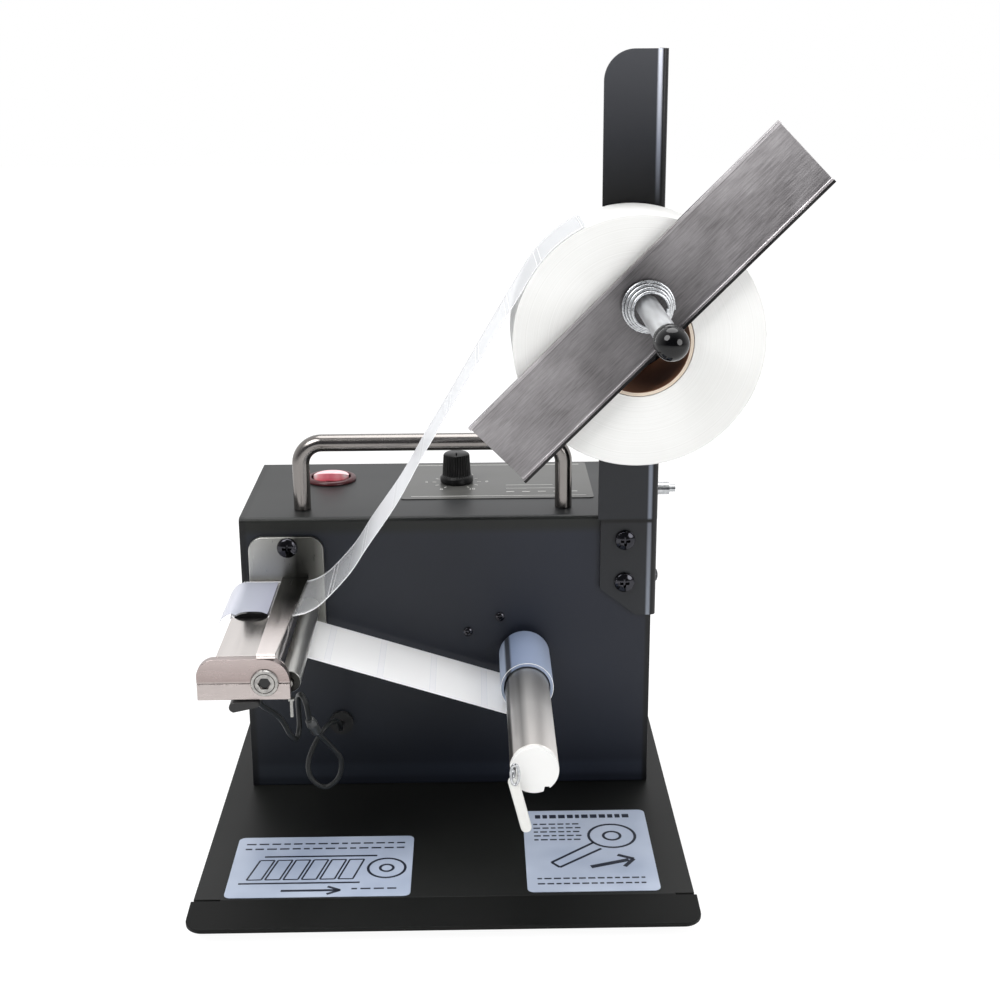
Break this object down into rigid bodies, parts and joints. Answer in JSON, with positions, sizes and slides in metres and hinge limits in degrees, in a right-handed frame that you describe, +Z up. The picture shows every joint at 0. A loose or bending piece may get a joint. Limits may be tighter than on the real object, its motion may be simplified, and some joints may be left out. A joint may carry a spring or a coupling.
{
  "type": "label dispenser",
  "caption": "Motor-driven desk label dispenser: label roll on an upright arm, peeler plate at the left, rewind spindle for the waste liner, black sheet-metal housing on a base plate.",
  "frame": {"origin": "middle of the underside of the whole machine, on the surface it stands on", "axes": "+Z up, +X to the right as the user faces the machine, +Y away from the user"},
  "size_m": [0.2796, 0.2452, 0.3685],
  "materials": {
    "housing_paint": "satin black powder coat",
    "base_paint": "satin black powder coat",
    "upright_paint": "satin black powder coat",
    "foot_rubber": "matte",
    "sticker_film": "satin printed film",
    "label_film": "satin printed film",
    "pot_metal": "plated",
    "knob_plastic": "satin black",
    "switch_plastic": "gloss black",
    "rocker_plastic": "gloss red",
    "handle_steel": "polished",
    "screw_zinc": "zinc plated",
    "screw_black": "black oxide",
    "axle_steel": "polished",
    "cap_plastic": "gloss black",
    "bar_steel": "coarse brushed along its length",
    "spring_wire": "bright drawn wire",
    "core_board": "plain board",
    "label_paper": "satin",
    "liner_paper": "glassine",
    "wound_paper": "glassine, wound",
    "mount_steel": "bright brushed",
    "peeler_steel": "polished",
    "end_steel": "satin",
    "sensor_plastic": "matte",
    "cable_jacket": "satin PVC",
    "grommet_rubber": "matte",
    "spindle_aluminium": "turned",
    "plug_plastic": "satin white",
    "motor_steel": "plated",
    "board_fibre": "solder mask green",
    "transformer_iron": "varnished laminations",
    "clip_steel": "white dipped"
  },
  "bodies": {
    "machine": {"front_panel": "housing_paint", "left_side_panel": "housing_paint", "right_side_panel": "housing_paint", "rear_cover": "housing_paint", "base_plate": "base_paint", "roll_upright": "upright_paint", "foot_front_left": "foot_rubber", "foot_front_right": "foot_rubber", "foot_back_left": "foot_rubber", "foot_back_right": "foot_rubber", "sticker_left": "sticker_film", "sticker_right": "sticker_film", "control_label": "label_film", "potentiometer": "pot_metal", "switch_body": "switch_plastic", "power_inlet": "switch_plastic", "handle": "handle_steel", "handle_screw_left": "screw_zinc", "handle_screw_right": "screw_zinc", "axle_nut": "screw_zinc", "side_stud": "screw_zinc", "stop_pin": "screw_zinc", "upright_screw_upper": "screw_black", "upright_screw_lower": "screw_black", "side_panel_screw": "screw_black", "peeler_mount_screw": "screw_black", "motor_screw_left": "screw_black", "motor_screw_right": "screw_black", "roll_axle": "axle_steel", "roller_pin": "axle_steel", "support_shaft": "axle_steel", "axle_cap": "cap_plastic", "peeled_label": "label_paper", "label_web": "liner_paper", "waste_liner": "liner_paper", "peeler_mount_plate": "mount_steel", "peeler_plate": "peeler_steel", "web_hold_down": "peeler_steel", "peeler_end_upper": "end_steel", "peeler_end_lower": "end_steel", "sensor_lever": "sensor_plastic", "sensor_cable_front": "cable_jacket", "sensor_cable_loop": "cable_jacket", "cable_sleeve": "cable_jacket", "cable_grommet": "grommet_rubber", "gear_motor": "motor_steel", "circuit_board": "board_fibre", "transformer": "transformer_iron"},
    "roll": {"roll_core": "core_board", "label_roll": "label_paper"},
    "spring": {"guide_spring": "spring_wire"},
    "bar": {"guide_bar": "bar_steel"},
    "spindle": {"spindle_tube": "spindle_aluminium", "spindle_plug": "plug_plastic", "wound_liner": "wound_paper", "output_shaft": "axle_steel"},
    "clip": {"liner_clip": "clip_steel"},
    "knob": {"speed_knob": "knob_plastic"},
    "rocker": {"switch_rocker": "rocker_plastic"},
    "roller": {"guide_roller": "axle_steel"}
  },
  "joints": [
    {"name": "roll_spin", "type": "hinge", "parent": "machine", "child": "roll", "pos_m": [0.0594, -0.0062, 0.2462], "axis": [0, -1, 0], "continuous": true},
    {"name": "guide_slide", "type": "slide", "parent": "machine", "child": "spring", "axis": [0, -1, 0], "range_m": [0, 0.05]},
    {"name": "guide_turn", "type": "hinge", "parent": "spring", "child": "bar", "pos_m": [0.0622, -0.0322, 0.2625], "axis": [0, -1, 0], "continuous": true},
    {"name": "rewind_spin", "type": "hinge", "parent": "machine", "child": "spindle", "pos_m": [0.0107, -0.0382, 0.082], "axis": [0, -1, 0], "continuous": true},
    {"name": "clip_pull", "type": "slide", "parent": "spindle", "child": "clip", "axis": [0, -1, 0], "range_m": [0, 0.08]},
    {"name": "speed_turn", "type": "hinge", "parent": "machine", "child": "knob", "pos_m": [-0.0221, 0.0808, 0.16], "axis": [0, 0, 1], "range_deg": [-150, 150]},
    {"name": "switch_rock", "type": "hinge", "parent": "machine", "child": "rocker", "pos_m": [-0.0878, 0.0888, 0.153], "axis": [1, 0, 0], "range_deg": [0, 20]},
    {"name": "guide_roller_spin", "type": "hinge", "parent": "machine", "child": "roller", "pos_m": [-0.0938, -0.0282, 0.1078], "axis": [0, -1, 0], "continuous": true}
  ]
}
